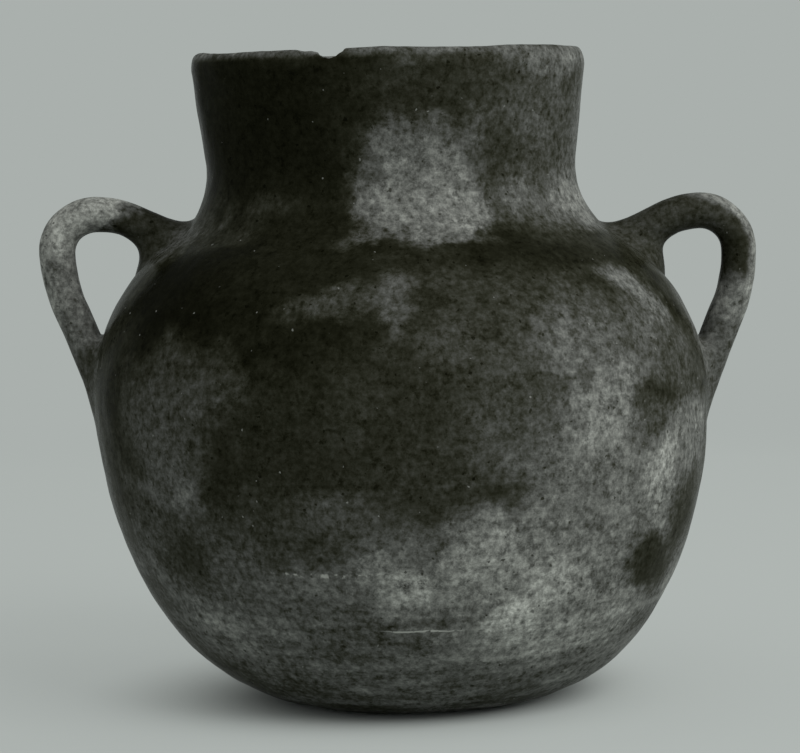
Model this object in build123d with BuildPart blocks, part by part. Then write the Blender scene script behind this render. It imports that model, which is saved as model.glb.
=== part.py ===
"""Round-bodied, wide-mouthed clay jar with two loop handles, taken apart as a potter builds it.

The wall is a pressed base bowl with rings of clay set on it, each lapped on the last at a slanted seam.
Each handle is a roll of clay: its upper end is pressed on the shoulder, and its lower end is a tenon
pushed through the belly. Clay collars are smoothed round both ends, and a pad of clay holds the tenon
inside. Millimetres, +Z up, origin at the middle of the standing face, handles along X, front at -Y.
"""

import os
from math import asin, atan2, cos, degrees, radians, sin, sqrt, tan

from build123d import *

# Body profile: radii from the jar's axis, heights above the standing face
foot_radius = 61
belly_radius = 174.5
belly_height = 173
shoulder_rise = 128
neck_radius = 104.5
neck_hollow = 48
neck_rise = 66
neck_flare = 7.2
wall = 8
floor_thickness = 11
lip_round = 3

# Seams between the rings, on the outside, and how far they slant from square across the wall
base_bowl_height = 60
seam_below_belly = 57
belly_seam_drop = 7
seam_above_belly = 49
shoulder_seam_rise = 77
shoulder_seam_below_waist = 12
neck_seam_above_waist = 26
rim_ring_height = 13
seam_bevel = 35

# Handles: a flattened roll that crowns near the neck, bends out and runs down into the belly
handle_thickness = 20
handle_width = 25
left_handle_drop = 13
right_handle_drop = 17.5
left_handle_stand_off = 28
right_handle_stand_off = 30
bend_radius = 22
root_radius = 50
root_slope = 25
tail_radius = 90
tail_slope = 22
sink_allowance = 1.5

# Lower end of a handle: the tenon through the wall and the pad that holds it inside
tenon_radius = 7
tenon_proud = 4
pad_radius = 18
pad_height = 8

# Collars: clay smoothed round a handle's ends, from a close ring on the roll to a wide foot in the wall
collar_skin = 1.5
collar_sink = 6.5
root_collar_length = 18
root_foot_centre = 42
root_foot_length = 50
root_foot_width = 42
tail_ring_clear = 10
tail_spread = 5
tail_side_spread = 7

# Old chip in the lip, left of the front
chip_width = 16
chip_depth = 4
chip_bearing = 18

# Profile worked out from the sizes above
waist_height = belly_height + shoulder_rise
overall_height = waist_height + neck_rise
draw_in = belly_radius - neck_radius
shoulder_radius = (draw_in**2 + shoulder_rise**2) / (2 * draw_in) - neck_hollow
shoulder_centre = belly_radius - shoulder_radius
hollow_centre = neck_radius + neck_hollow
turn_angle = degrees(atan2(shoulder_rise, hollow_centre - shoulder_centre))
turn_height = belly_height + shoulder_radius * sin(radians(turn_angle))
cone_height = waist_height + neck_hollow * sin(radians(neck_flare))
cone_radius = hollow_centre - neck_hollow * cos(radians(neck_flare))


def wall_curve(inset, floor):
    """Draws the wall from the foot to the lip, at a depth under the outer face, and returns its ends."""
    foot = (foot_radius, floor)
    EllipticalCenterArc(
        (foot_radius, belly_height), belly_radius - foot_radius - inset, belly_height - floor, -90, arc_size=90
    )
    CenterArc((shoulder_centre, belly_height), shoulder_radius - inset, 0, turn_angle)
    hollow = CenterArc(
        (hollow_centre, waist_height), neck_hollow + inset, 180 + turn_angle, -turn_angle - neck_flare
    )
    cone_foot = hollow @ 1
    lip = (cone_foot.X + (overall_height - cone_foot.Y) * tan(radians(neck_flare)), overall_height)
    Line(cone_foot, lip)
    return foot, lip


def wall_at(height):
    """Outer radius of the jar at a height, and the angle there of the outward normal above level."""
    if height < belly_height:
        drop = (belly_height - height) / belly_height
        spread = sqrt(1 - drop**2)
        reach = belly_radius - foot_radius
        return foot_radius + reach * spread, degrees(atan2(-drop / belly_height, spread / reach))
    if height < turn_height:
        angle = asin((height - belly_height) / shoulder_radius)
        return shoulder_centre + shoulder_radius * cos(angle), degrees(angle)
    if height < cone_height:
        angle = asin((waist_height - height) / neck_hollow)
        return hollow_centre - neck_hollow * cos(angle), degrees(angle)
    return cone_radius + (height - cone_height) * tan(radians(neck_flare)), -neck_flare


def seam(height):
    """Ends of the slanted seam that crosses the wall at a height, well past both of its faces."""
    radius, normal = wall_at(height)
    along = Vector(cos(radians(normal + seam_bevel)), sin(radians(normal + seam_bevel)))
    at_face = Vector(radius, height)
    return at_face - along * (wall / cos(radians(seam_bevel)) + wall), at_face + along * wall


def turned(inset, floor):
    """Solid of the jar's whole outside, or of the space inside it, turned about the axis."""
    with BuildPart() as solid:
        with BuildSketch(Plane.YZ):
            with BuildLine():
                foot, lip = wall_curve(inset, floor)
                Polyline(lip, (0, overall_height), (0, floor), foot)
            make_face()
        revolve(axis=Axis.Z)
    return solid


def ring(label, band):
    """One ring of the wall: what lies inside the band, turned about the axis and pierced by the tenons."""
    with BuildPart() as clay:
        with BuildSketch(Plane.YZ):
            with BuildLine():
                foot, lip = wall_curve(0, 0)
                inner_foot, inner_lip = wall_curve(wall, floor_thickness)
                Line(lip, inner_lip)
                Polyline(inner_foot, (0, floor_thickness), (0, 0), foot)
            make_face()
            with BuildLine():
                Polyline(*band, close=True)
            make_face(mode=Mode.INTERSECT)
        revolve(axis=Axis.Z)
        add(left_tenon.part, mode=Mode.SUBTRACT)
        add(right_tenon.part, mode=Mode.SUBTRACT)
    clay.part.label = label
    return clay


def side_plane(side):
    """Upright plane through the axis, with its X outwards: side is 1 for right, -1 for left."""
    return Plane((0, 0, 0), x_dir=(side, 0, 0), z_dir=(0, -side, 0))


def depth_in_wall(spread):
    """Length past the landing at which a roll, spread by so much all round, is wholly under the outer face."""
    return sink_allowance * (handle_thickness / 2 + spread) / tan(radians(tail_slope))


class HandleLine:
    """Middle line of a handle in its upright plane, from the sizes of that handle."""

    def __init__(self, side, drop, stand_off):
        self.side = side
        self.plane = side_plane(side)
        half = handle_thickness / 2
        self.crown = Vector(belly_radius + stand_off - half - bend_radius, waist_height - drop - half)
        self.elbow = self.crown + Vector(bend_radius, -bend_radius)
        tail = radians(tail_slope)
        self.run_start = self.elbow - Vector(tail_radius * (1 - cos(tail)), tail_radius * sin(tail))
        self.run = Vector(-sin(tail), -cos(tail))
        self.landing = self.run_start + self.run * self.run_to_wall()
        slope = radians(root_slope)
        self.root_bend = self.crown - Vector(root_radius * sin(slope), root_radius * (1 - cos(slope)))
        root_length = (self.root_bend.X - neck_radius) / cos(slope)
        self.root_end = self.root_bend - Vector(cos(slope), sin(slope)) * root_length

    def run_to_wall(self):
        """Length of the straight run down to the outside of the wall, found in small steps inwards."""
        length = 0
        for _ in range(20):
            point = self.run_start + self.run * length
            length += (point.X - wall_at(point.Y)[0]) / -self.run.X / 2
        return length

    def draw(self):
        """Draws the line from inside the shoulder, over the crown and down into the belly."""
        over_crown, under_crown = self.crown.Y - root_radius, self.crown.Y - bend_radius
        root = CenterArc((self.crown.X, over_crown), root_radius, 90 + root_slope, -root_slope)
        Line((self.root_end.X, self.root_end.Y), root @ 0)
        CenterArc((self.crown.X, under_crown), bend_radius, 90, -90)
        tail = CenterArc((self.elbow.X - tail_radius, self.elbow.Y), tail_radius, 0, -tail_slope)
        run_end = self.landing + self.run * depth_in_wall(0)
        Line(tail @ 1, (run_end.X, run_end.Y))

    def section_plane(self, point, direction):
        """Plane square to a direction in the handle's upright plane, with its X along the jar's Y."""
        origin = self.plane.from_local_coords(Vector(point.X, point.Y, 0))
        normal = (self.side * direction.X, 0, direction.Y)
        return Plane(origin, x_dir=(0, self.side, 0), z_dir=normal)


def tenon_of(line):
    """Plug of clay, level and square to the axis, from inside the roll to just past the wall."""
    outside = wall_at(line.landing.Y)[0] + tenon_radius / 2
    with BuildPart() as plug:
        with BuildSketch(line.section_plane(Vector(outside, line.landing.Y), Vector(-1, 0))):
            Circle(tenon_radius)
        extrude(amount=tenon_radius / 2 + wall + tenon_proud)
    return plug


def handle(label, line, tenon):
    """A handle: the swept roll, trimmed to the outside of the jar, with its tenon."""
    with BuildPart() as roll:
        with BuildLine(line.plane) as middle:
            line.draw()
        with BuildSketch(Plane(middle.line @ 0, x_dir=(0, 1, 0), z_dir=middle.line % 0)):
            Ellipse(handle_width / 2, handle_thickness / 2)
        sweep(path=middle.line)
        add(outside.part, mode=Mode.SUBTRACT)
        add(tenon.part)
    roll.part.label = label
    return roll


def collar(label, roll, near, far, foot_width, foot_length):
    """Skirt of clay from a close ring on the roll to a wide foot let into the wall."""
    with BuildPart() as skirt:
        with BuildSketch(near):
            Ellipse(handle_width / 2 + collar_skin, handle_thickness / 2 + collar_skin)
        with BuildSketch(far):
            Ellipse(foot_width / 2, foot_length / 2)
        loft()
        add(outside.part, mode=Mode.SUBTRACT)
        add(roll.part, mode=Mode.SUBTRACT)
    skirt.part.label = label
    return skirt


def root_collar(label, line, roll):
    """Collar on the shoulder: it fills the angle under the handle's upper end."""
    lean = asin(root_collar_length / root_radius)
    near_point = line.crown - Vector(root_collar_length, root_radius * (1 - cos(lean)))
    near = line.section_plane(near_point, Vector(cos(lean), sin(lean)))
    foot_out = line.crown.X - root_foot_centre - shoulder_centre
    slope = atan2(sqrt(shoulder_radius**2 - foot_out**2), foot_out)
    normal = Vector(cos(slope), sin(slope))
    foot_point = Vector(shoulder_centre, belly_height) + normal * (shoulder_radius - collar_sink)
    far = line.section_plane(foot_point, normal)
    return collar(label, roll, near, far, root_foot_width, root_foot_length)


def tail_collar(label, line, roll):
    """Collar on the belly: a sleeve that widens along the roll until it runs out in the wall."""
    rise = (handle_thickness / 2 + collar_skin) / tan(radians(tail_slope)) + tail_ring_clear
    near = line.section_plane(line.landing - line.run * rise, line.run)
    far = line.section_plane(line.landing + line.run * depth_in_wall(tail_spread), line.run)
    width = handle_width + 2 * tail_side_spread
    return collar(label, roll, near, far, width, handle_thickness + 2 * tail_spread)


def clench_pad(label, line, tenon):
    """Pad of clay pressed over the end of a tenon on the inside of the wall: the cap of a ball."""
    ball_radius = (pad_radius**2 + pad_height**2) / (2 * pad_height)
    wall_face = wall_at(line.landing.Y)[0] - wall
    with BuildPart() as pad:
        with Locations((line.side * (wall_face - pad_height + ball_radius), 0, line.landing.Y)):
            Sphere(ball_radius)
        add(inside.part, mode=Mode.INTERSECT)
        add(tenon.part, mode=Mode.SUBTRACT)
    pad.part.label = label
    return pad


outside = turned(0, 0)
inside = turned(wall, floor_thickness)

# The two handles and the clay that holds their ends
left_line = HandleLine(-1, left_handle_drop, left_handle_stand_off)
right_line = HandleLine(1, right_handle_drop, right_handle_stand_off)
left_tenon = tenon_of(left_line)
right_tenon = tenon_of(right_line)
left_handle = handle("left_handle", left_line, left_tenon)
right_handle = handle("right_handle", right_line, right_tenon)
handle_pieces = [
    left_handle,
    right_handle,
    root_collar("left_shoulder_collar", left_line, left_handle),
    root_collar("right_shoulder_collar", right_line, right_handle),
    tail_collar("left_belly_collar", left_line, left_handle),
    tail_collar("right_belly_collar", right_line, right_handle),
    clench_pad("left_tenon_pad", left_line, left_tenon),
    clench_pad("right_tenon_pad", right_line, right_tenon),
]

# The rings of the wall, from the base up, each between the seam under it and the seam over it
seams = [
    seam(base_bowl_height),
    seam(belly_height - seam_below_belly),
    seam(belly_height - belly_seam_drop),
    seam(belly_height + seam_above_belly),
    seam(belly_height + shoulder_seam_rise),
    seam(waist_height - shoulder_seam_below_waist),
    seam(waist_height + neck_seam_above_waist),
    seam(overall_height - rim_ring_height),
]
ring_names = [
    "lower_belly_ring",
    "middle_belly_ring",
    "upper_belly_ring",
    "lower_shoulder_ring",
    "upper_shoulder_ring",
    "lower_neck_ring",
    "upper_neck_ring",
]
base_inner, base_outer = seams[0]
base_band = [(0, -wall), (belly_radius, -wall), base_outer, base_inner, (0, base_inner.Y)]
rings = [ring("base_bowl", base_band)]
for name, (low_inner, low_outer), (high_inner, high_outer) in zip(ring_names, seams, seams[1:]):
    rings.append(ring(name, [low_inner, low_outer, high_outer, high_inner]))

# The rim ring, with a rounded lip and the chip
rim_inner, rim_outer = seams[-1]
over_lip = overall_height + wall
plain_rim = ring("plain_rim", [rim_inner, rim_outer, (rim_outer.X, over_lip), (rim_inner.X, over_lip)])
chip_radius = (chip_width**2 / 4 + chip_depth**2) / (2 * chip_depth)
chip_way = (-sin(radians(chip_bearing)), -cos(radians(chip_bearing)), 0)
with BuildPart() as rim_ring:
    add(plain_rim.part)
    fillet(rim_ring.edges().group_by(Axis.Z)[-1], radius=lip_round)
    with BuildSketch(Plane((0, 0, overall_height + chip_radius - chip_depth), z_dir=chip_way)):
        Circle(chip_radius)
    extrude(amount=belly_radius, mode=Mode.SUBTRACT)
rim_ring.part.label = "rim_ring"
rings.append(rim_ring)

os.makedirs("parts", exist_ok=True)
for piece in rings + handle_pieces:
    export_step(piece.part, f"parts/{piece.part.label}.step")
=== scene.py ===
from collections import namedtuple
from math import atan2, ceil, cos, hypot, pi, radians, sin, tan

import bpy
import numpy as np
from mathutils import Matrix, Vector


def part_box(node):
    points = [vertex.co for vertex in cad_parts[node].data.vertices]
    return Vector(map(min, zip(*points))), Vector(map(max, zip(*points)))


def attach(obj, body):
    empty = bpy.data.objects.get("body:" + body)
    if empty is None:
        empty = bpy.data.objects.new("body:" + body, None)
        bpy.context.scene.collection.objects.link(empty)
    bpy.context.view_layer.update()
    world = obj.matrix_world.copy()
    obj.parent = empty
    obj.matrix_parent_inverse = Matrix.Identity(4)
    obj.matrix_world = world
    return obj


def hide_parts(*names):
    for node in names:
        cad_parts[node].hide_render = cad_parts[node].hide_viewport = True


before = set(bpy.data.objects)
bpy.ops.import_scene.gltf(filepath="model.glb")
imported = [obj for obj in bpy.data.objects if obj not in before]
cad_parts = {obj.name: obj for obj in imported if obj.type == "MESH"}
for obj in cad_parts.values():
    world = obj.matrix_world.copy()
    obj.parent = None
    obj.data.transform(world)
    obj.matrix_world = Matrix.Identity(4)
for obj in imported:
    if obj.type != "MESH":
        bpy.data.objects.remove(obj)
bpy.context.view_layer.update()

# Base bowl: the round bottom of the jar, beaten out of one cake of clay over a mould.
# Dark, coarse earthenware, 8 mm thick, with a flat to stand on. The first ring of the wall is lapped
# on its slanted edge, and the seam is smoothed away.
foot_radius = 0.061
floor_thickness = 0.011
wall = 0.008
belly_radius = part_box("upper_belly_ring")[1].y
belly_height = 0.173
neck_radius = 0.1045
neck_hollow = 0.048
neck_flare = radians(7.2)
shoulder_rise = 0.128
overall_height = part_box("rim_ring")[1].z
base_bowl_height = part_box("base_bowl")[1].z
seam_bevel = radians(35)

waist_height = belly_height + shoulder_rise
draw_in = belly_radius - neck_radius
shoulder_radius = (draw_in**2 + shoulder_rise**2) / (2 * draw_in) - neck_hollow
shoulder_centre = belly_radius - shoulder_radius
hollow_centre = neck_radius + neck_hollow
turn_angle = atan2(shoulder_rise, hollow_centre - shoulder_centre)
turn_steps = 360
row_step = 0.0024
seam_row = 0.0004
weld_gap = 0.000004


def rows_in(length):
    """How many rows of points a length of clay gets."""
    return max(2, ceil(length / row_step))


def arc(centre, reach, start, end):
    """Points (radius, height) along an arc; the reach is one radius, or two for a part of an ellipse."""
    wide, tall = reach if isinstance(reach, tuple) else (reach, reach)
    angles = np.linspace(start, end, rows_in(max(wide, tall) * abs(end - start)))
    return np.column_stack([centre[0] + wide * np.cos(angles), centre[1] + tall * np.sin(angles)])


def straight(start, end):
    """Points (radius, height) along a straight stretch."""
    return np.linspace(start, end, rows_in(hypot(end[0] - start[0], end[1] - start[1])))


def joined(*stretches):
    """Stretches of points, end to end, with each shared end kept once."""
    return np.concatenate([stretches[0]] + [stretch[1:] for stretch in stretches[1:]])


def wall_line(inset, floor):
    """The wall's line at a depth under its outer face, from the foot's edge up to the lip."""
    bowl_reach = (belly_radius - foot_radius - inset, belly_height - floor)
    bowl = arc((foot_radius, belly_height), bowl_reach, -pi / 2, 0)
    shoulder = arc((shoulder_centre, belly_height), shoulder_radius - inset, 0, turn_angle)
    hollow = arc((hollow_centre, waist_height), neck_hollow + inset, pi + turn_angle, pi - neck_flare)
    cone_radius, cone_height = hollow[-1]
    lip_radius = cone_radius + (overall_height - cone_height) * tan(neck_flare)
    return joined(bowl, shoulder, hollow, straight((cone_radius, cone_height), (lip_radius, overall_height)))


outer_line = wall_line(0, 0)
inner_line = wall_line(wall, floor_thickness)


def radius_at(line, height):
    """Radius of a wall line at a height."""
    return float(np.interp(height, line[:, 1], line[:, 0]))


def slope_at(line, height):
    """Angle above level of the outward normal of a wall line at a height."""
    spread = radius_at(line, height + row_step) - radius_at(line, height - row_step)
    return atan2(-spread, 2 * row_step)


def seam_inside(height):
    """Height at which a slanted seam, known by its outer height, comes out on the inner face."""
    slant = slope_at(outer_line, height) + seam_bevel
    return height - wall * sin(slant) / cos(seam_bevel)


def between(line, low, high):
    """Points of a wall line between two heights, with a close row beside each seam."""
    kept = [tuple(point) for point in line if low + row_step / 2 < point[1] < high - row_step / 2]
    first = [(radius_at(line, height), height) for height in (low, low + seam_row)]
    last = [(radius_at(line, height), height) for height in (high - seam_row, high)]
    return first + kept + last


def set_on_jar(piece, node):
    """Closes a shaped piece's faces outwards, and sets it on the jar in the place of its solid."""
    bpy.ops.object.mode_set(mode="EDIT")
    bpy.ops.mesh.select_all(action="SELECT")
    bpy.ops.mesh.normals_make_consistent(inside=False)
    bpy.ops.object.mode_set(mode="OBJECT")
    piece.name = piece.data.name = f"{node}_clay"
    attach(piece, "root")
    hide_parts(node)
    return piece


def turned(section):
    """A closed ring of clay: a loop of points laid on the section and spun once round the jar's axis."""
    bpy.ops.object.select_all(action="DESELECT")
    bpy.ops.mesh.primitive_circle_add(vertices=len(section))
    ring = bpy.context.object
    for vertex, (radius, height) in zip(ring.data.vertices, section):
        vertex.co = (radius, 0, height)
    bpy.ops.object.mode_set(mode="EDIT")
    bpy.ops.mesh.select_all(action="SELECT")
    bpy.ops.mesh.spin(steps=turn_steps, angle=2 * pi, center=(0, 0, 0), axis=(0, 0, 1))
    bpy.ops.mesh.select_all(action="SELECT")
    bpy.ops.mesh.remove_doubles(threshold=weld_gap)
    bpy.ops.mesh.delete_loose()
    bpy.ops.object.mode_set(mode="OBJECT")
    return ring


foot_face = [tuple(point) for point in straight((0, 0), (foot_radius, 0))[:-1]]
floor_face = [(radius, floor_thickness) for radius, _ in reversed(foot_face)]
bowl_outside = between(outer_line, 0, base_bowl_height)
bowl_inside = between(inner_line, floor_thickness, seam_inside(base_bowl_height))
bowl_section = foot_face + bowl_outside + bowl_inside[::-1] + floor_face
clay = [set_on_jar(turned(bowl_section), "base_bowl")]

# Wall rings: seven fat coils of clay set one on another and drawn up into the belly, shoulder and neck.
# Each is lapped on the last at a slanted seam, which is pressed together and smoothed on both faces.
ring_tops = {
    "lower_belly_ring": belly_height - 0.057,
    "middle_belly_ring": belly_height - 0.007,
    "upper_belly_ring": belly_height + 0.049,
    "lower_shoulder_ring": belly_height + 0.077,
    "upper_shoulder_ring": waist_height - 0.012,
    "lower_neck_ring": waist_height + 0.026,
    "upper_neck_ring": overall_height - 0.013,
}
ring_foot = base_bowl_height
for node, ring_top in ring_tops.items():
    outside = between(outer_line, ring_foot, ring_top)
    inside = between(inner_line, seam_inside(ring_foot), seam_inside(ring_top))
    clay.append(set_on_jar(turned(outside + inside[::-1]), node))
    ring_foot = ring_top

# Rim ring: the last coil, with its lip rounded between wet fingers and worn since.
# One old chip, left of the front, has lost a flake of the lip; its break is rough and dull.
# Each flake has its bearing to the left of the front, its width along the lip and its depth.
lip_round = 0.0095
chip_flakes = {"deep": (radians(16.3), 0.021, 0.0052), "shallow": (radians(19.5), 0.036, 0.0021)}
flake_rise = 0.004
flake_reach = 0.016
break_grain = 0.006
break_depth = 0.0025
outside = between(outer_line, ring_foot, overall_height - lip_round)
inside = between(inner_line, seam_inside(ring_foot), overall_height - lip_round)
lip_middle = (outside[-1][0] + inside[-1][0]) / 2
lip_half = (outside[-1][0] - inside[-1][0]) / 2
lip = arc((lip_middle, overall_height - lip_round), (lip_half, lip_round), 0, pi)[1:-1]
rim = turned(outside + [tuple(point) for point in lip] + inside[::-1])

broken_clay = bpy.data.textures.new("broken_clay", "CLOUDS")
broken_clay.noise_scale = break_grain
broken_clay.noise_depth = 3
for bearing, width, depth in chip_flakes.values():
    level = Vector((-sin(bearing), -cos(bearing), 0))
    above_lip = level * lip_middle + Vector((0, 0, overall_height + flake_rise))
    bpy.ops.object.select_all(action="DESELECT")
    bpy.ops.mesh.primitive_ico_sphere_add(subdivisions=5, location=above_lip, rotation=(0, 0, -bearing))
    flake = bpy.context.object
    flake.scale = (width / 2, flake_reach, depth + flake_rise)
    bpy.ops.object.transform_apply(location=True, rotation=True, scale=True)
    roughen = flake.modifiers.new("rough_break", "DISPLACE")
    roughen.texture, roughen.texture_coords, roughen.strength = broken_clay, "GLOBAL", break_depth
    bpy.ops.object.modifier_apply(modifier=roughen.name)
    bpy.ops.object.select_all(action="DESELECT")
    bpy.context.view_layer.objects.active = rim
    rim.select_set(True)
    broken = rim.modifiers.new("chip", "BOOLEAN")
    broken.object, broken.operation, broken.solver = flake, "DIFFERENCE", "EXACT"
    bpy.ops.object.modifier_apply(modifier=broken.name)
    bpy.data.objects.remove(flake)
clay.append(set_on_jar(rim, "rim_ring"))

# Handles: two rolls of clay, a little flattened, bent into loops while soft.
# The upper end is pressed on the shoulder and the lower end is run down into the belly wall.
# They are hand-rolled, so each swells and thins a little, and neither stands quite square.
handle_thickness = 0.020
handle_width = 0.025
bend_radius = 0.022
root_radius = 0.050
root_slope = radians(25)
tail_radius = 0.090
tail_slope = radians(22)
tail_run = 0.080
roll_sides = 48
# Lengths along the roll at which the paler band on its back starts, is full, is still full, and ends: wear,
# and a painted rim light on the outer side of the loop.
worn_and_rim_lit_run = (0.055, 0.085, 0.135, 0.165)


class Roll:
    """A roll of clay bent into a handle: its middle line in (radius, height), and its stand on the jar."""

    def __init__(self, side, drop, stand_off, root_back, tail_back):
        self.side, self.root_back, self.tail_back = side, root_back, tail_back
        half = handle_thickness / 2
        crown = Vector((belly_radius + stand_off - half - bend_radius, waist_height - drop - half))
        root_arc = arc(crown - Vector((0, root_radius)), root_radius, pi / 2 + root_slope, pi / 2)
        root_bend = root_arc[0]
        root_end = (neck_radius, root_bend[1] - (root_bend[0] - neck_radius) * tan(root_slope))
        bend_arc = arc(crown - Vector((0, bend_radius)), bend_radius, pi / 2, 0)
        tail_centre = crown + Vector((bend_radius - tail_radius, -bend_radius))
        tail_arc = arc(tail_centre, tail_radius, 0, -tail_slope)
        run_end = tail_arc[-1] - tail_run * np.array([sin(tail_slope), cos(tail_slope)])
        root, run = straight(root_end, root_bend), straight(tail_arc[-1], run_end)
        self.line = joined(root, root_arc, bend_arc, tail_arc, run)
        steps = np.linalg.norm(np.diff(self.line, axis=0), axis=1)
        self.lengths = np.concatenate([[0], np.cumsum(steps)])
        self.length = float(self.lengths[-1])
        self.crown_at = float(self.lengths[np.argmax(self.line[:, 1])])

    def middle(self, length):
        """Point of the middle line at a length from the root."""
        radius, height = self.line.T
        return Vector((np.interp(length, self.lengths, radius), np.interp(length, self.lengths, height)))

    def skin(self, length, out, across):
        """Point of the bent roll: out from its middle line, and across the loop to the jar's back."""
        along = (self.middle(length + row_step) - self.middle(length - row_step)).normalized()
        point = self.middle(length) + Vector((-along.y, along.x)) * out
        back = self.root_back + (self.tail_back - self.root_back) * length / self.length
        return Vector((self.side * point.x, across + back, point.y))


def bent(roll):
    """The roll itself: a straight cylinder, cut into rows along its length and bent along the middle line."""
    bpy.ops.object.select_all(action="DESELECT")
    bpy.ops.mesh.primitive_cylinder_add(vertices=roll_sides, radius=0.5, depth=roll.length)
    handle = bpy.context.object
    bpy.ops.object.mode_set(mode="EDIT")
    bpy.ops.mesh.select_all(action="DESELECT")
    bpy.ops.mesh.select_mode(type="EDGE")
    bpy.ops.object.mode_set(mode="OBJECT")
    for edge in handle.data.edges:
        start, end = (handle.data.vertices[index].co for index in edge.vertices)
        edge.select = abs(start.z - end.z) > roll.length / 2
    bpy.ops.object.mode_set(mode="EDIT")
    bpy.ops.mesh.subdivide_edgering(number_cuts=rows_in(roll.length))
    bpy.ops.mesh.select_mode(type="VERT")
    bpy.ops.object.mode_set(mode="OBJECT")
    # A paler band along the outer side of the loop: wear, and a painted rim light.
    worn_and_rim_lit = handle.data.attributes.new("worn_and_rim_lit", "FLOAT", "POINT")
    for index, vertex in enumerate(handle.data.vertices):
        out, across, length = vertex.co.x, vertex.co.y, vertex.co.z + roll.length / 2
        worn_and_rim_lit.data[index].value = 2 * out * np.interp(length, worn_and_rim_lit_run, (0, 1, 1, 0))
        vertex.co = roll.skin(length, out * handle_thickness, across * handle_width)
    return handle


rolls = {
    "left": Roll(-1, drop=0.013, stand_off=0.028, root_back=0.006, tail_back=-0.009),
    "right": Roll(1, drop=0.0175, stand_off=0.0315, root_back=0.004, tail_back=0.008),
}
for hand, roll in rolls.items():
    clay.append(set_on_jar(bent(roll), f"{hand}_handle"))

# Collars: soft clay pressed round the ends of each handle and drawn out with the thumb.
# Those on the shoulder fill the angle under the root; those on the belly run the tail out into the wall.
# Their reach on the roll and on the wall changes from the outer side of the loop to its inner side.
collar_ring = 96
collar_rows = 32
fillet_rows = 25
root_on_roll = {"outer": 0.018, "side": 0.018, "inner": 0.028}
root_on_wall = {"outer": 0.010, "side": 0.012, "inner": 0.025}
root_stand = {
    "left": {"outer": 0, "side": 0.1, "inner": 0.35},
    "right": {"outer": 0, "side": 0.1, "inner": 0.65},
}
tail_on_roll = {"outer": 0.026, "side": 0.022, "inner": 0.005}
tail_on_wall = {"outer": 0.022, "side": 0.020, "inner": 0.005}
tail_stand = {"outer": 0, "side": 0, "inner": 0}
feather = 0.0002
collar_depth = 0.003
halvings = 24


def round_roll(angle, sizes):
    """A size that changes round the roll, from the outer side of the loop to its inner side."""
    facing = cos(angle)
    far = sizes["outer"] if facing > 0 else sizes["inner"]
    return sizes["side"] + (far - sizes["side"]) * facing**2


def on_wall(point, depth):
    """The wall's outer face at the height and bearing of a point, or a little under that face."""
    reach = hypot(point.x, point.y)
    slope = slope_at(outer_line, point.z)
    level = Vector((point.x / reach, point.y / reach, 0))
    face = level * radius_at(outer_line, point.z) + Vector((0, 0, point.z))
    return face - (level * cos(slope) + Vector((0, 0, sin(slope)))) * depth


def landing(roll, buried, out, across):
    """Length along a roll, between its crown and a buried end, at which a line of its skin meets the wall."""
    clear = roll.crown_at
    for _ in range(halvings):
        half_way = (clear + buried) / 2
        point = roll.skin(half_way, out, across)
        if hypot(point.x, point.y) < radius_at(outer_line, point.z):
            buried = half_way
        else:
            clear = half_way
    return clear


def bow(start, corner, end, rows, stand):
    """Points of a hollow curve that leaves one face smoothly, and runs out on another or stands on it."""
    pull = 2 / 3
    first = start.lerp(corner, pull)
    second = end.lerp(corner.lerp(start, stand), pull)
    curve = []
    for share in np.linspace(0, 1, rows):
        near, middle, far = start.lerp(first, share), first.lerp(second, share), second.lerp(end, share)
        curve.append(near.lerp(middle, share).lerp(middle.lerp(far, share), share))
    return curve


def collar_section(roll, buried, angle, on_roll, over_wall, stand):
    """One section through a collar, at an angle round the roll: the hollow face, then the buried back."""
    out, across = cos(angle) * handle_thickness / 2, sin(angle) * handle_width / 2
    away = 1 if buried < roll.crown_at else -1
    heart = roll.skin(landing(roll, buried, 0, 0), 0, 0)
    meet = landing(roll, buried, out, across)
    corner = roll.skin(meet, out, across)
    start_at = meet + away * round_roll(angle, on_roll)
    sunk = 1 - feather / handle_thickness * 2
    start = roll.skin(start_at, out * sunk, across * sunk)
    foot = on_wall(corner + (corner - heart).normalized() * round_roll(angle, over_wall), feather)
    core = 1 - collar_depth / handle_thickness * 2
    under_start = roll.skin(start_at, out * core, across * core)
    under_corner = roll.skin(meet, out * core, across * core)
    back = bow(on_wall(foot, collar_depth), under_corner, under_start, collar_rows - fillet_rows, 0)
    return bow(start, corner, foot, fillet_rows, round_roll(angle, stand)) + back


def pressed_round(roll, buried, *reaches):
    """A collar: a ring of clay whose every section is pressed into the corner of roll and wall."""
    bpy.ops.object.select_all(action="DESELECT")
    bpy.ops.mesh.primitive_torus_add(major_segments=collar_ring, minor_segments=collar_rows)
    ring = bpy.context.object
    angles = [2 * pi * turn / collar_ring for turn in range(collar_ring)]
    sections = [collar_section(roll, buried, angle, *reaches) for angle in angles]
    for index, vertex in enumerate(ring.data.vertices):
        vertex.co = sections[index // collar_rows][index % collar_rows]
    return ring


for hand, roll in rolls.items():
    root_collar = pressed_round(roll, 0, root_on_roll, root_on_wall, root_stand[hand])
    clay.append(set_on_jar(root_collar, f"{hand}_shoulder_collar"))
    tail_collar = pressed_round(roll, roll.length, tail_on_roll, tail_on_wall, tail_stand)
    clay.append(set_on_jar(tail_collar, f"{hand}_belly_collar"))

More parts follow.
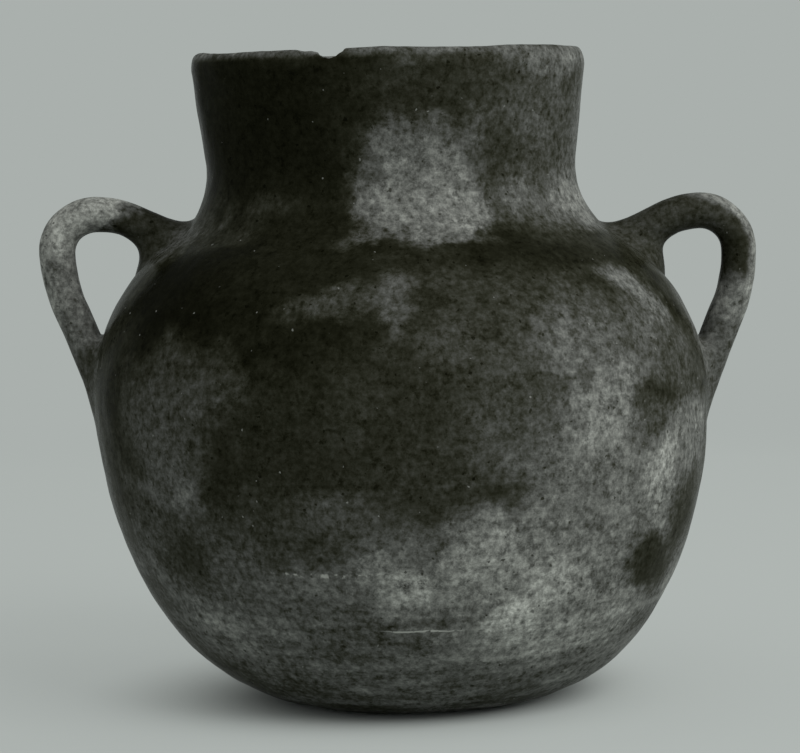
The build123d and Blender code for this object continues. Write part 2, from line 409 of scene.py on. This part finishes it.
# Tenon pads: a dab of clay pressed over the end of each handle inside the wall, with the thumb.
# They hold the handles from within, and only show through the mouth.
pad_height = 0.008
pad_segments = 64
pad_rings = 40
for hand, roll in rolls.items():
    low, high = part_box(f"{hand}_tenon_pad")
    middle_height = (low.z + high.z) / 2
    pad_radius = (high.y - low.y) / 2
    ball_radius = (pad_radius**2 + pad_height**2) / (2 * pad_height)
    face = radius_at(inner_line, middle_height)
    ball_at = (roll.side * (face - pad_height + ball_radius), 0, middle_height)
    bpy.ops.object.select_all(action="DESELECT")
    bpy.ops.mesh.primitive_uv_sphere_add(segments=pad_segments, ring_count=pad_rings, radius=ball_radius,
                                         location=ball_at)
    bpy.ops.object.transform_apply(location=True, rotation=False, scale=False)
    bpy.ops.object.mode_set(mode="EDIT")
    bpy.ops.mesh.select_all(action="SELECT")
    cut_at = (roll.side * (face + wall / 2), 0, middle_height)
    bpy.ops.mesh.bisect(plane_co=cut_at, plane_no=(roll.side, 0, 0), clear_outer=True, use_fill=True)
    bpy.ops.object.mode_set(mode="OBJECT")
    clay.append(set_on_jar(bpy.context.object, f"{hand}_tenon_pad"))

# Drying: the jar was built by hand on a board, and dried a little out of true.
# It leans to the left, its wall and handles keep the print of the hands, and its own weight has pressed
# the foot flat. The same print runs over all the pieces, so that no seam opens.
lean_angle = radians(1.38)
lean_height = 0.183
lean = Matrix.Identity(4)
lean[0][2], lean[0][3] = -tan(lean_angle), lean_height * tan(lean_angle)
sharp_edge = radians(38)
# Each print has the size of its hollows and how far they shift the clay.
hand_prints = {"palm": (0.075, 0.0026), "fingers": (0.024, 0.0009), "wiping": (0.009, 0.00025)}
for name, (size, strength) in hand_prints.items():
    pressed = bpy.data.textures.new(name, "CLOUDS")
    pressed.cloud_type = "COLOR"
    pressed.noise_scale = size
    for piece in clay:
        bpy.ops.object.select_all(action="DESELECT")
        bpy.context.view_layer.objects.active = piece
        piece.select_set(True)
        print_of_hand = piece.modifiers.new(name, "DISPLACE")
        print_of_hand.texture, print_of_hand.texture_coords = pressed, "LOCAL"
        print_of_hand.direction, print_of_hand.strength = "RGB_TO_XYZ", strength
        bpy.ops.object.modifier_apply(modifier=name)
for piece in clay:
    piece.data.transform(lean)
    for vertex in piece.data.vertices:
        vertex.co.z = max(vertex.co.z, 0)
    bpy.ops.object.select_all(action="DESELECT")
    bpy.context.view_layer.objects.active = piece
    piece.select_set(True)
    bpy.ops.object.shade_smooth_by_angle(angle=sharp_edge)

# Firing: the whole jar was fired at once, in an open fire, and came out grey and black.
# The fire clouds run across the seams: soot black on the left of the neck and shoulder, pale where the
# flame reached, with a mottled skin, small dark pits and white grits of lime.


class Shade:
    """A socket of a material. Sums and products of it add Math nodes, and add() makes any other node."""

    def __init__(self, socket):
        self.socket = socket

    def add(self, kind, settings, sockets, output=0):
        """A new node of the same material: its settings, then the values or links of its sockets."""
        node = self.socket.id_data.nodes.new(kind)
        for name, value in settings.items():
            setattr(node, name, value)
        result = Shade(node.outputs[output])
        result.feed(sockets)
        return result

    def feed(self, sockets):
        """Sets or links sockets of the node that this socket belongs to."""
        for name, value in sockets.items():
            socket = self.socket.node.inputs[name]
            if isinstance(value, Shade):
                self.socket.id_data.links.new(value.socket, socket)
            else:
                socket.default_value = value

    def math(self, operation, first, second):
        return self.add("ShaderNodeMath", {"operation": operation}, {0: first, 1: second})

    def __add__(self, other):
        return self.math("ADD", self, other)

    def __sub__(self, other):
        return self.math("SUBTRACT", self, other)

    def __rsub__(self, other):
        return self.math("SUBTRACT", other, self)

    def __mul__(self, other):
        return self.math("MULTIPLY", self, other)

    def __pow__(self, other):
        return self.math("POWER", self, other)

    __radd__ = __add__
    __rmul__ = __mul__

    def ramp(self, low, high, start=0, end=1):
        """A smooth step of this value, from start to end as it goes from low to high."""
        limits = {"Value": self, "From Min": low, "From Max": high, "To Min": start, "To Max": end}
        return self.add("ShaderNodeMapRange", {"interpolation_type": "SMOOTHSTEP"}, limits)

    def toward(self, other, share):
        """This value, gone over to another by a share."""
        return self.add("ShaderNodeMix", {"data_type": "FLOAT"}, {"Factor": share, "A": self, "B": other})


fired_clay = bpy.data.materials.new("fired_clay")
fired_clay.use_nodes = True
surface = Shade(fired_clay.node_tree.nodes["Principled BSDF"].outputs["BSDF"])
place = surface.add("ShaderNodeTexCoord", {}, {}, output="Object")


def noise(where, size, detail, output="Fac", roughness=0.5):
    """Cloudy noise of a size in metres, about 0.5 in the middle."""
    sockets = {"Vector": where, "Scale": 1 / size, "Detail": detail, "Roughness": roughness}
    return surface.add("ShaderNodeTexNoise", {}, sockets, output)


def drifted(where, size, reach):
    """A place that has drifted by up to half a reach each way, to fray the edges of what is drawn there."""
    pushed = surface.add("ShaderNodeVectorMath", {"operation": "MULTIPLY_ADD"},
                         {0: noise(where, size, 3, "Color"), 1: (reach,) * 3, 2: where})
    return surface.add("ShaderNodeVectorMath", {"operation": "SUBTRACT"}, {0: pushed, 1: (reach / 2,) * 3})


def patch(where, middle, lie, reach, edge):
    """How much of a soft-edged, frayed patch there is: 1 inside it and 0 outside."""
    limit = 1 + edge + fringe_reach
    round_ball = {"gradient_type": "SPHERICAL"}
    ball = surface.add("ShaderNodeTexGradient", round_ball, {"Vector": where}, output="Fac")
    mapping = ball.socket.node.texture_mapping
    mapping.vector_type = "TEXTURE"
    mapping.translation, mapping.rotation, mapping.scale = middle, lie.to_euler(), Vector(reach) * limit
    return (fringe - ball * limit).ramp(1 - edge - limit, 1 + edge - limit, 1, 0)


# The edges of the clouds wander in waves, each of a size and a reach, and have a ragged fringe.
waves = {"broad": (0.040, 0.027), "middling": (0.010, 0.014), "small": (0.003, 0.005)}
frayed = place
for wave_size, wave_reach in waves.values():
    frayed = drifted(frayed, wave_size, wave_reach)
fringe_size = 0.012
fringe_reach = 0.4
fringe = noise(place, fringe_size, 4) * (2 * fringe_reach) - fringe_reach


def lie_on_wall(turn, height, tilt):
    """Middle of a patch on the wall, and its axes: round the jar, into the wall, and up the wall."""
    bearing, slope = radians(turn), slope_at(outer_line, height)
    level = Vector((sin(bearing), -cos(bearing), 0))
    round_jar = Vector((cos(bearing), sin(bearing), 0))
    inward = -(level * cos(slope) + Vector((0, 0, sin(slope))))
    axes = Matrix((round_jar, inward, round_jar.cross(inward))).transposed()
    middle = level * radius_at(outer_line, height) + Vector((0, 0, height))
    return lean @ middle, axes @ Matrix.Rotation(-radians(tilt), 3, "Y")


# Each cloud has its turn from the jar's front to the right and its tilt, in degrees, its height and its
# reach each way in metres, its shade as the eye sees it, from 0, black, to 1, white, and how soft it ends.
Cloud = namedtuple("Cloud", "name turn height wide tall shade tilt edge", defaults=(0, 0.6))
wall_clouds = [
    # Broad tones of the belly and foot.
    Cloud("pale lower belly", 0, 0.078, 0.200, 0.052, 0.355, edge=0.5),
    Cloud("grey lower belly, left", -27, 0.112, 0.050, 0.018, 0.235, edge=0.85),
    Cloud("grey foot", -8, 0.026, 0.150, 0.028, 0.34, edge=0.8),
    Cloud("pale right belly", 40, 0.138, 0.100, 0.062, 0.445, edge=0.45),
    Cloud("pale low right", 38, 0.056, 0.060, 0.028, 0.45),
    Cloud("grey shoulder", 9, 0.246, 0.075, 0.043, 0.21),
    # The dark middle of the belly.
    Cloud("dark belly", 4, 0.171, 0.046, 0.048, 0.2, edge=0.85),
    Cloud("dark belly, right", 21, 0.186, 0.022, 0.046, 0.255, edge=0.85),
    Cloud("dark belly's foot", 2, 0.128, 0.026, 0.012, 0.195, edge=0.95),
    Cloud("sooty belly", -20, 0.171, 0.045, 0.044, 0.17, edge=0.85),
    Cloud("sooty belly, left", -33, 0.148, 0.020, 0.022, 0.162, edge=0.95),
    Cloud("sooty belly, right", -9, 0.186, 0.016, 0.022, 0.205, edge=0.85),
    # Soot on the left, and the grey neck.
    Cloud("sooty neck", -56, 0.326, 0.098, 0.056, 0.12, edge=0.47),
    Cloud("sooty rim", -10, 0.352, 0.020, 0.022, 0.112),
    Cloud("sooty shoulder", -42, 0.240, 0.106, 0.046, 0.095, tilt=5),
    Cloud("sooty shoulder, front", -22, 0.258, 0.046, 0.058, 0.135),
    # A darker band along the left limb of the belly.
    Cloud("dark band by the left limb", -68, 0.184, 0.028, 0.030, 0.145, edge=0.9),
    Cloud("grey band under the neck", 37, 0.261, 0.066, 0.022, 0.135, tilt=-6),
    Cloud("grey neck", 15, 0.348, 0.050, 0.020, 0.185),
    # The right of the neck, and the pale window on its front.
    Cloud("pale neck, right", 56, 0.321, 0.046, 0.052, 0.28),
    # A paler band along the right limb of the neck, a painted rim light.
    Cloud("painted rim light, right limb of the neck", 84, 0.318, 0.022, 0.045, 0.34),
    Cloud("dark neck beside the window", 33, 0.311, 0.013, 0.034, 0.225, tilt=-20),
    Cloud("window's top", 6, 0.313, 0.024, 0.019, 0.325, edge=0.3),
    Cloud("pale window on the neck", 7, 0.287, 0.034, 0.030, 0.43, edge=0.25),
    Cloud("window's right corner", 20, 0.280, 0.017, 0.014, 0.46, edge=0.3),
    Cloud("window's foot", 7, 0.267, 0.036, 0.006, 0.39),
    Cloud("neck blotch, middle", 45, 0.327, 0.016, 0.012, 0.29),
    Cloud("neck blotch, low", 39, 0.290, 0.015, 0.010, 0.36),
    Cloud("pale neck root", 70, 0.282, 0.034, 0.015, 0.445),
    # The right of the lip is painted paler: wear, and a painted highlight.
    Cloud("worn and lit rim, right", 60, 0.361, 0.042, 0.008, 0.385),
    # Smudges on the shoulder.
    Cloud("smudge, left", -15, 0.230, 0.020, 0.009, 0.255),
    Cloud("smudge, between", -8, 0.236, 0.018, 0.010, 0.24),
    Cloud("smudge, middle", 0, 0.234, 0.010, 0.017, 0.31),
    Cloud("smudge, right", 10, 0.216, 0.013, 0.014, 0.255),
    # The lick of the flame on the right.
    Cloud("flame lick, top", 32, 0.214, 0.018, 0.018, 0.35),
    Cloud("flame lick, middle", 38, 0.189, 0.024, 0.020, 0.37),
    Cloud("flame lick, foot", 38, 0.168, 0.016, 0.019, 0.46),
    Cloud("flame lick, right", 43, 0.215, 0.009, 0.008, 0.315),
    Cloud("flame lick, far right", 45, 0.190, 0.011, 0.010, 0.45),
    Cloud("gap in the lick, left", 28, 0.192, 0.006, 0.005, 0.26),
    Cloud("gap in the lick, middle", 34, 0.190, 0.006, 0.006, 0.285),
    # The right limb.
    Cloud("shoulder streak", 58, 0.233, 0.026, 0.009, 0.4, tilt=-35),
    Cloud("dark limb, right", 62, 0.194, 0.036, 0.020, 0.25),
    Cloud("dark limb's foot", 53, 0.175, 0.018, 0.008, 0.155, edge=0.7),
    Cloud("grey hollow, right", 51, 0.162, 0.019, 0.012, 0.26),
    Cloud("pale right belly, low", 41, 0.127, 0.064, 0.025, 0.385),
    Cloud("dark notch", 16, 0.129, 0.018, 0.012, 0.17, edge=0.95),
    Cloud("dark limb, low right", 67, 0.112, 0.016, 0.030, 0.20, tilt=-15, edge=0.7),
    Cloud("bright right belly", 55, 0.136, 0.016, 0.015, 0.56, tilt=25),
    Cloud("pale limb, right", 70, 0.157, 0.022, 0.016, 0.42),
    # The pale low belly.
    # A paler band along the low right limb of the belly, a painted rim light where the bright floor's light
    # grazes the edge.
    Cloud("painted rim light, low right limb", 78, 0.070, 0.022, 0.022, 0.47),
    Cloud("bright low belly", 14, 0.097, 0.024, 0.024, 0.485),
    Cloud("bright low belly, right", 30, 0.080, 0.020, 0.012, 0.54),
    Cloud("bright low belly, foot", 22, 0.062, 0.015, 0.010, 0.675, tilt=20, edge=0.85),
    Cloud("pale low belly, middle", 0, 0.079, 0.017, 0.009, 0.555, edge=0.85),
    Cloud("pale low belly, left", -7, 0.094, 0.012, 0.007, 0.4, edge=0.8),
    # Spots low on both sides.
    Cloud("dark spot, right", 57, 0.084, 0.028, 0.014, 0.17, tilt=-30),
    Cloud("dark spot, left", -47, 0.096, 0.018, 0.020, 0.185, edge=0.95),
    # The left belly and foot.
    Cloud("grey left belly, top", -34, 0.191, 0.015, 0.010, 0.22, edge=0.8),
    Cloud("grey left belly", -48, 0.171, 0.022, 0.024, 0.27, edge=0.9),
    Cloud("grey left belly, high", -47, 0.200, 0.011, 0.016, 0.24, edge=0.8),
    Cloud("pale low belly, far left", -34, 0.082, 0.021, 0.022, 0.32, edge=0.8),
    Cloud("pale foot, left", -45, 0.054, 0.022, 0.011, 0.41, tilt=-20),
    Cloud("grey under the soot", -13, 0.124, 0.015, 0.010, 0.29, edge=0.85),
    Cloud("faint neck root, left", -39, 0.283, 0.018, 0.006, 0.19),
    Cloud("faint shoulder, left", -50, 0.267, 0.022, 0.010, 0.18, tilt=12),
    # A darker strip along the bottom edge of the foot, where it stands on the floor.
    Cloud("darker edge of the foot", -11, 0.004, 0.100, 0.010, 0.24),
]
# On a handle, each has its length along the roll from the root, how far out of the loop it lies, its reach
# and its shade.
RollCloud = namedtuple("RollCloud", "name hand along out reach shade")
roll_clouds = [
    RollCloud("sooty root", "left", 0.040, -0.006, 0.028, 0.21),
    # On the left handle, the hollow under the bend is painted dark, a painted shade, and its crown and bend
    # are painted pale, a painted light on the top and outer side of the loop.
    RollCloud("painted shade in the hollow of the bend", "left", 0.074, -0.016, 0.020, 0.13),
    RollCloud("painted light on the crown", "left", 0.068, 0.013, 0.020, 0.64),
    RollCloud("painted light on the bend", "left", 0.094, 0.007, 0.024, 0.55),
    RollCloud("pale arm", "left", 0.124, 0.004, 0.020, 0.43),
    RollCloud("grey arm", "left", 0.152, 0, 0.020, 0.38),
    RollCloud("grey tail", "left", 0.182, 0, 0.020, 0.25),
    RollCloud("grey root", "right", 0.045, 0, 0.034, 0.24),
    RollCloud("dark crown", "right", 0.082, -0.004, 0.026, 0.22),
    RollCloud("dark arm", "right", 0.112, 0, 0.020, 0.18),
    RollCloud("pale arm", "right", 0.142, 0, 0.018, 0.44),
    RollCloud("grey tail", "right", 0.178, 0, 0.024, 0.325),
]
cloud_depth = 0.06
roll_cloud_edge = 0.35
plain_cloud_size = 0.075
plain_shades = (0.13, 0.38)
tone = noise(place, plain_cloud_size, 4).ramp(0.32, 0.68, *plain_shades)
for cloud in wall_clouds:
    middle, lie = lie_on_wall(cloud.turn, cloud.height, cloud.tilt)
    reach = (cloud.wide, cloud_depth, cloud.tall)
    tone = tone.toward(cloud.shade, patch(frayed, middle, lie, reach, cloud.edge))
for cloud in roll_clouds:
    middle = lean @ rolls[cloud.hand].skin(cloud.along, cloud.out, 0)
    around = patch(frayed, middle, Matrix.Identity(3), (cloud.reach,) * 3, roll_cloud_edge)
    tone = tone.toward(cloud.shade, around)

# The lip and the backs of the handles are painted paler, in patches: partly wear from handling, partly a
# painted highlight on the top of the rounded lip and a painted rim light on the outer sides of the handles.
worn_and_lit_lip_shade = 0.36
worn_and_lit_lip_low = overall_height - 0.006
worn_and_lit_lip_high = overall_height - 0.0015
lip_patch_size = 0.02
worn_and_rim_lit_back_shade = 0.50
worn_and_rim_lit_back_most = 0.85
rise = surface.add("ShaderNodeSeparateXYZ", {}, {"Vector": place}, output="Z")
# The top of the rounded lip is painted paler: a painted highlight where light catches it, broken into patches
# of wear.
worn_and_lit_lip = rise.ramp(worn_and_lit_lip_low, worn_and_lit_lip_high) * noise(place, lip_patch_size, 3).ramp(0.3, 0.6, 0.5, 1)
tone = tone.toward(worn_and_lit_lip_shade, worn_and_lit_lip)
# The backs of the handles are painted paler: wear, and a painted rim light on the outer side of each loop.
worn_and_rim_lit = surface.add("ShaderNodeAttribute", {"attribute_name": "worn_and_rim_lit"}, {}, output="Fac")
tone = tone.toward(worn_and_rim_lit_back_shade, (worn_and_rim_lit + fringe * 0.5).ramp(0.25, 0.75) * worn_and_rim_lit_back_most)

# The mottled skin: grains and blotches of the clay, and streaks where it was wiped round, most at the foot.
grain_size = 0.0038
mottle_size = 0.009
blotch_size = 0.026
streak_size = 0.0028
smear_size = 0.006
smear_low = 0.03
smear_high = 0.10
wiped_round = (0.08, 0.08, 1)
grain = noise(place, grain_size, 4, roughness=0.75)
mottle = noise(place, mottle_size, 4, roughness=0.65)
blotch = noise(place, blotch_size, 3)
wiped = surface.add("ShaderNodeVectorMath", {"operation": "MULTIPLY"}, {0: place, 1: wiped_round})
streak = noise(wiped, streak_size, 2)
smear = (noise(wiped, smear_size, 3) - 0.5) * rise.ramp(smear_low, smear_high, 1, 0)
skin = grain * 1.7 + mottle * 0.6 + blotch * 0.5 + streak * 0.3 + smear * 1.3 - 1.55
tone = tone * (1 + skin * tone.ramp(0.08, 0.25, 0.5, 1))
dot_drift = 0.003


def dots(size, least, most, kept):
    """Small uneven dots, of a least and a most reach, in a kept share of the cells of a size."""
    cells = {"Vector": drifted(place, dot_drift, dot_drift), "Scale": 1 / size}
    distance = surface.add("ShaderNodeTexVoronoi", {}, cells, output="Distance")
    draw = surface.add("ShaderNodeTexVoronoi", {}, cells, output="Color")
    luck = surface.add("ShaderNodeSeparateColor", {}, {"Color": draw}, output="Red")
    growth = surface.add("ShaderNodeSeparateColor", {}, {"Color": draw}, output="Green")
    spread = growth.ramp(0, 1, least / size, most / size)
    soft = least / size / 2
    return (distance - spread).ramp(-soft, soft, 1, 0) * luck.ramp(kept - 0.01, kept + 0.01, 1, 0)


pits = dots(0.0070, 0.0004, 0.0009, 0.7)
grits = dots(0.0080, 0.0003, 0.0006, 0.6)
fleck_size = 0.0052
lime_shade = 0.52
flecks = noise(place, fleck_size, 4, roughness=0.7).ramp(0.53, 0.70)
tone = tone * (1 - 0.4 * pits) * (1 - 0.3 * flecks)
tone = tone.toward(lime_shade, grits * 0.8)

# Two marks scraped into the belly: how far each reaches along and across, and how much of it is left.
Scrape = namedtuple("Scrape", "name turn height long wide left")
scraped_shade = 0.62
scrape_waver = 0.012
scrape_sway = 0.003
scrape_gaps = 0.003
scrapes = [
    Scrape("row of scars", -15.5, 0.090, 0.030, 0.0013, 0.43),
    Scrape("fine scratch", 2, 0.058, 0.019, 0.0007, 0.58),
]
for scrape in scrapes:
    middle, lie = lie_on_wall(scrape.turn, scrape.height, 0)
    reach = (scrape.long, cloud_depth, scrape.wide)
    line = patch(drifted(place, scrape_waver, scrape_sway), middle, lie, reach, 0.4)
    gone = 1 - scrape.left
    tone = tone.toward(scraped_shade, line * noise(place, scrape_gaps, 2).ramp(gone - 0.07, gone + 0.07))

# The shade becomes a colour: soot is a warm black and worn clay a cool grey, and neither shines.
warm_black = (0.95, 1.0, 0.42, 1)
cool_grey = (0.965, 1.0, 0.915, 1)
darkest_shade = 0.085
eye_to_light = 2.2
shine = 0.005
relief_depth = 0.0006
colours = {"Factor": tone.ramp(0.02, 0.36), 6: warm_black, 7: cool_grey}
tint = surface.add("ShaderNodeMix", {"data_type": "RGBA"}, colours, output=2)
albedo = surface.math("MAXIMUM", tone, darkest_shade) ** eye_to_light
colour = surface.add("ShaderNodeVectorMath", {"operation": "SCALE"}, {0: tint, "Scale": albedo})
relief = grain * 0.5 + mottle * 0.5 + streak * 0.4 - pits * 0.6
bumps = {"Strength": 0.5, "Distance": relief_depth, "Height": relief}
surface.feed({
    "Base Color": colour,
    "Roughness": tone.ramp(0.08, 0.45, 0.2, 0.32),
    "Specular IOR Level": shine,
    "Normal": surface.add("ShaderNodeBump", {}, bumps),
})
for piece in clay:
    piece.data.materials.clear()
    piece.data.materials.append(fired_clay)

# Studio: a seamless sheet of grey paper under and behind the jar, and two soft lamps on the right.
# The paper runs out into the backdrop with no edge. It takes the jar's shadow, dark under the belly; further
# out the paper glows an even grey of its own, which lifts the shadow.
paper_grey = (0.402, 0.434, 0.418, 1)
paper_skin = (0.605, 0.65, 0.625, 1)
paper_radius = 8
shade_start = 0.08
shade_end = 0.20
shade_lift = 0.7
paper_start = 0.5
paper_end = 1.7
bpy.ops.object.select_all(action="DESELECT")
bpy.ops.mesh.primitive_circle_add(vertices=128, radius=paper_radius, fill_type="NGON")
floor = bpy.context.object
floor.name = "studio_paper"
paper = bpy.data.materials.new("grey_paper")
paper.use_nodes = True
sheet = Shade(paper.node_tree.nodes["Principled BSDF"].outputs["BSDF"])
sheet.feed({"Base Color": paper_skin, "Roughness": 0.9, "Specular IOR Level": 0.1})
glow = sheet.add("ShaderNodeEmission", {}, {"Color": paper_grey})
on_paper = sheet.add("ShaderNodeTexCoord", {}, {}, output="Object")
from_jar = sheet.add("ShaderNodeVectorMath", {"operation": "LENGTH"}, {0: on_paper}, output="Value")
lifted = from_jar.ramp(shade_start, shade_end, 0, shade_lift)
run_out = sheet.math("MAXIMUM", lifted, from_jar.ramp(paper_start, paper_end))
seamless = sheet.add("ShaderNodeMixShader", {}, {0: run_out, 1: sheet, 2: glow})
paper.node_tree.links.new(seamless.socket, paper.node_tree.nodes["Material Output"].inputs["Surface"])
floor.data.materials.append(paper)

world = bpy.data.worlds.new("studio")
bpy.context.scene.world = world
world.use_nodes = True
room = Shade(world.node_tree.nodes["Background"].outputs["Background"])
seen = room.add("ShaderNodeLightPath", {}, {}, "Is Camera Ray")
mirrored = room.add("ShaderNodeLightPath", {}, {}, "Is Glossy Ray")
through = room.add("ShaderNodeLightPath", {}, {}, "Is Transmission Ray")
backdrop = room.math("MAXIMUM", room.math("MAXIMUM", seen, mirrored), through)
room_light = (0.56, 0.565, 0.56, 1)
walls = {"Factor": backdrop, 6: room_light, 7: paper_grey}
room.feed({"Color": room.add("ShaderNodeMix", {"data_type": "RGBA"}, walls, output=2)})

# Each lamp has its stand in metres, its power in watts, its width, and the height that it points to.
Lamp = namedtuple("Lamp", "name stand power width aim")
lamps = [
    Lamp("high_lamp", (1.7, -1.9, 2.2), 48, 2.0, 0.18),
    Lamp("low_lamp", (1.6, 0.1, 0.5), 4.5, 0.6, 0.02),
]
for lamp in lamps:
    bpy.ops.object.light_add(type="AREA", location=lamp.stand)
    light = bpy.context.object
    light.name = lamp.name
    light.data.energy = lamp.power
    light.data.size = lamp.width
    light.rotation_euler = (Vector((0, 0, lamp.aim)) - light.location).to_track_quat("-Z", "Y").to_euler()

# Camera: a long lens, level with the neck and tipped down a little to the jar.
photo_width = 800
pixels_to_axis = 3158
camera_stand = (-0.0004, -1.8, 0.3265)
camera_pitch = radians(4.59)
camera_roll = radians(1.11)
bpy.ops.object.camera_add(location=camera_stand)
camera = bpy.context.object
camera.data.lens = pixels_to_axis * camera.data.sensor_width / photo_width
tipped = Matrix.Rotation(pi / 2 - camera_pitch, 3, "X")
camera.rotation_euler = (tipped @ Matrix.Rotation(-camera_roll, 3, "Z")).to_euler()
bpy.context.scene.camera = camera
bpy.context.scene.view_settings.view_transform = "Standard"
